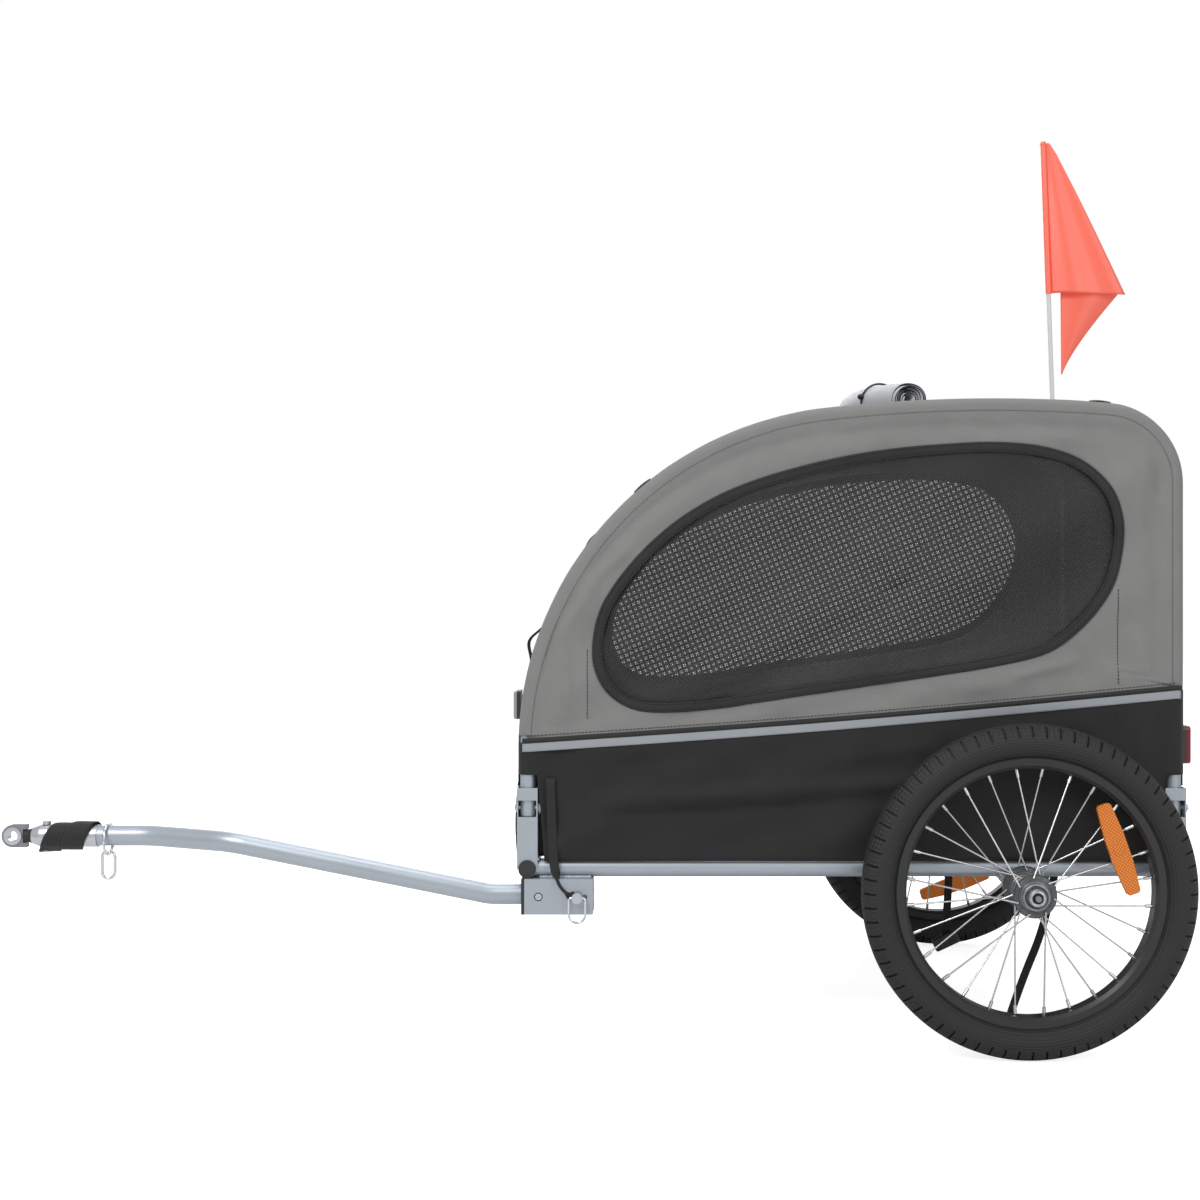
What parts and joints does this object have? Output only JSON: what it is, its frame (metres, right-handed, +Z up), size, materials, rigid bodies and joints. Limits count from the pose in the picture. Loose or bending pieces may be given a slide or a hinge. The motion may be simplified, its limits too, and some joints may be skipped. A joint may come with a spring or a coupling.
{
  "type": "dog bike trailer",
  "caption": "Two-wheeled dog trailer with a rounded fabric cabin on folding hoops, mesh side windows, a roof hatch, a side drawbar with a flexible hitch, and a safety flag.",
  "frame": {"origin": "middle of the footprint's bounding box, on the ground", "axes": "+X towards the hitch, +Y to the trailer's left, +Z up"},
  "size_m": [1.5444, 0.733, 1.2502],
  "materials": {
    "tyre": "matte",
    "rim": "satin",
    "hub": "satin",
    "spoke": "polished",
    "frame": "satin silver",
    "steel": "zinc plated",
    "chrome": "polished",
    "grey_fabric": "woven, coated",
    "black_fabric": "woven, coated",
    "mesh": "open mesh",
    "roll": "clear sheet and mesh, rolled",
    "cord": "braided",
    "webbing": "woven webbing",
    "black_plastic": "matte",
    "amber": "prismatic",
    "clear": "prismatic",
    "red": "prismatic",
    "rubber": "matte",
    "board": "matte",
    "flag": "coated",
    "pole": "pultruded glass fibre",
    "green": "matte"
  },
  "bodies": {
    "chassis": {"axle_tube": "frame", "corner_posts": "frame", "cover_roll": "roll", "cross_tubes": "frame", "drawbar": "frame", "drawbar_receiver": "frame", "drawbar_screws": "steel", "flag_holder": "black_plastic", "floor_board": "board", "frame_end_caps": "black_plastic", "front_panel": "grey_fabric", "hitch_sleeve": "frame", "left_front_reflector": "clear", "left_rear_reflector": "red", "pin_tether": "webbing", "post_bolts": "steel", "rear_panel": "grey_fabric", "receiver_bush": "black_plastic", "right_front_reflector": "clear", "right_rear_reflector": "red", "roll_ties": "cord", "roof_battens": "black_plastic", "roof_panel": "grey_fabric", "safety_strap": "webbing", "side_rails": "frame", "strap_buckle": "black_plastic", "tub_front": "black_fabric", "tub_rear": "black_fabric", "tub_sides": "black_fabric", "under_straps": "webbing", "wheel_axles": "steel"},
    "left_wheel": {"left_tyre": "tyre", "left_rim": "rim", "left_hub": "hub", "left_hub_bearings": "steel", "left_spokes": "spoke", "left_spoke_reflector": "amber"},
    "left_axle_button": {"left_axle_button": "green"},
    "left_hoop": {"left_hoop": "frame", "left_side_panel": "grey_fabric", "left_window_mesh": "mesh"},
    "right_wheel": {"right_tyre": "tyre", "right_rim": "rim", "right_hub": "hub", "right_hub_bearings": "steel", "right_spokes": "spoke", "right_spoke_reflector": "amber"},
    "right_axle_button": {"right_axle_button": "green"},
    "right_hoop": {"right_hoop": "frame", "right_side_panel": "grey_fabric", "right_window_mesh": "mesh"},
    "lock_pin": {"lock_pin": "steel"},
    "lock_pin_ring": {"lock_pin_ring": "chrome"},
    "hitch_core": {"hitch_core": "rubber"},
    "hitch_eye": {"hitch_eye": "steel", "hitch_bushing": "black_plastic"},
    "strap_ring": {"strap_ring": "chrome"},
    "snap_link": {"snap_link": "chrome"},
    "flag_pole": {"flag_pole": "pole", "flag": "flag"}
  },
  "joints": [
    {"name": "left_wheel_spin", "type": "hinge", "parent": "chassis", "child": "left_wheel", "pos_m": [-0.4878, 0.318, 0.2], "axis": [0, 1, 0], "continuous": true},
    {"name": "left_button_press", "type": "slide", "parent": "chassis", "child": "left_axle_button", "axis": [0, -1, 0], "range_m": [0, 0.003], "stiffness_N_per_m": 900},
    {"name": "right_wheel_spin", "type": "hinge", "parent": "chassis", "child": "right_wheel", "pos_m": [-0.4878, -0.318, 0.2], "axis": [0, 1, 0], "continuous": true},
    {"name": "right_button_press", "type": "slide", "parent": "chassis", "child": "right_axle_button", "axis": [0, 1, 0], "range_m": [0, 0.003], "stiffness_N_per_m": 900},
    {"name": "left_hoop_fold", "type": "hinge", "parent": "chassis", "child": "left_hoop", "pos_m": [-0.4878, 0.265, 0.293], "axis": [1, 0, 0], "range_deg": [0, 86]},
    {"name": "right_hoop_fold", "type": "hinge", "parent": "chassis", "child": "right_hoop", "pos_m": [-0.4878, -0.265, 0.293], "axis": [-1, 0, 0], "range_deg": [0, 95]},
    {"name": "lock_pin_pull", "type": "slide", "parent": "chassis", "child": "lock_pin", "axis": [0, 1, 0], "range_m": [0, 0.055]},
    {"name": "lock_pin_ring_swing", "type": "hinge", "parent": "lock_pin", "child": "lock_pin_ring", "pos_m": [0.0512, 0.292, 0.1875], "axis": [1, 0, 0], "range_deg": [0, 100]},
    {"name": "hitch_pitch", "type": "hinge", "parent": "chassis", "child": "hitch_core", "pos_m": [0.7392, 0.215, 0.251], "axis": [0, 1, 0], "range_deg": [-20, 20], "stiffness_Nm_per_rad": 40, "deforming": ["hitch_core"]},
    {"name": "hitch_yaw", "type": "hinge", "parent": "hitch_core", "child": "hitch_eye", "pos_m": [0.7392, 0.215, 0.251], "axis": [0, 0, 1], "range_deg": [-35, 35], "stiffness_Nm_per_rad": 30, "deforming": ["hitch_core"]},
    {"name": "strap_ring_swing", "type": "hinge", "parent": "chassis", "child": "strap_ring", "pos_m": [0.6402, 0.215, 0.251], "axis": [1, 0, 0], "range_deg": [-60, 60]},
    {"name": "snap_link_swing", "type": "hinge", "parent": "strap_ring", "child": "snap_link", "pos_m": [0.6402, 0.215, 0.2275], "axis": [0, 1, 0], "range_deg": [-30, 30]},
    {"name": "flag_pole_lift", "type": "slide", "parent": "chassis", "child": "flag_pole", "axis": [0.0356, 0, 0.9994], "range_m": [0, 0.04]}
  ]
}
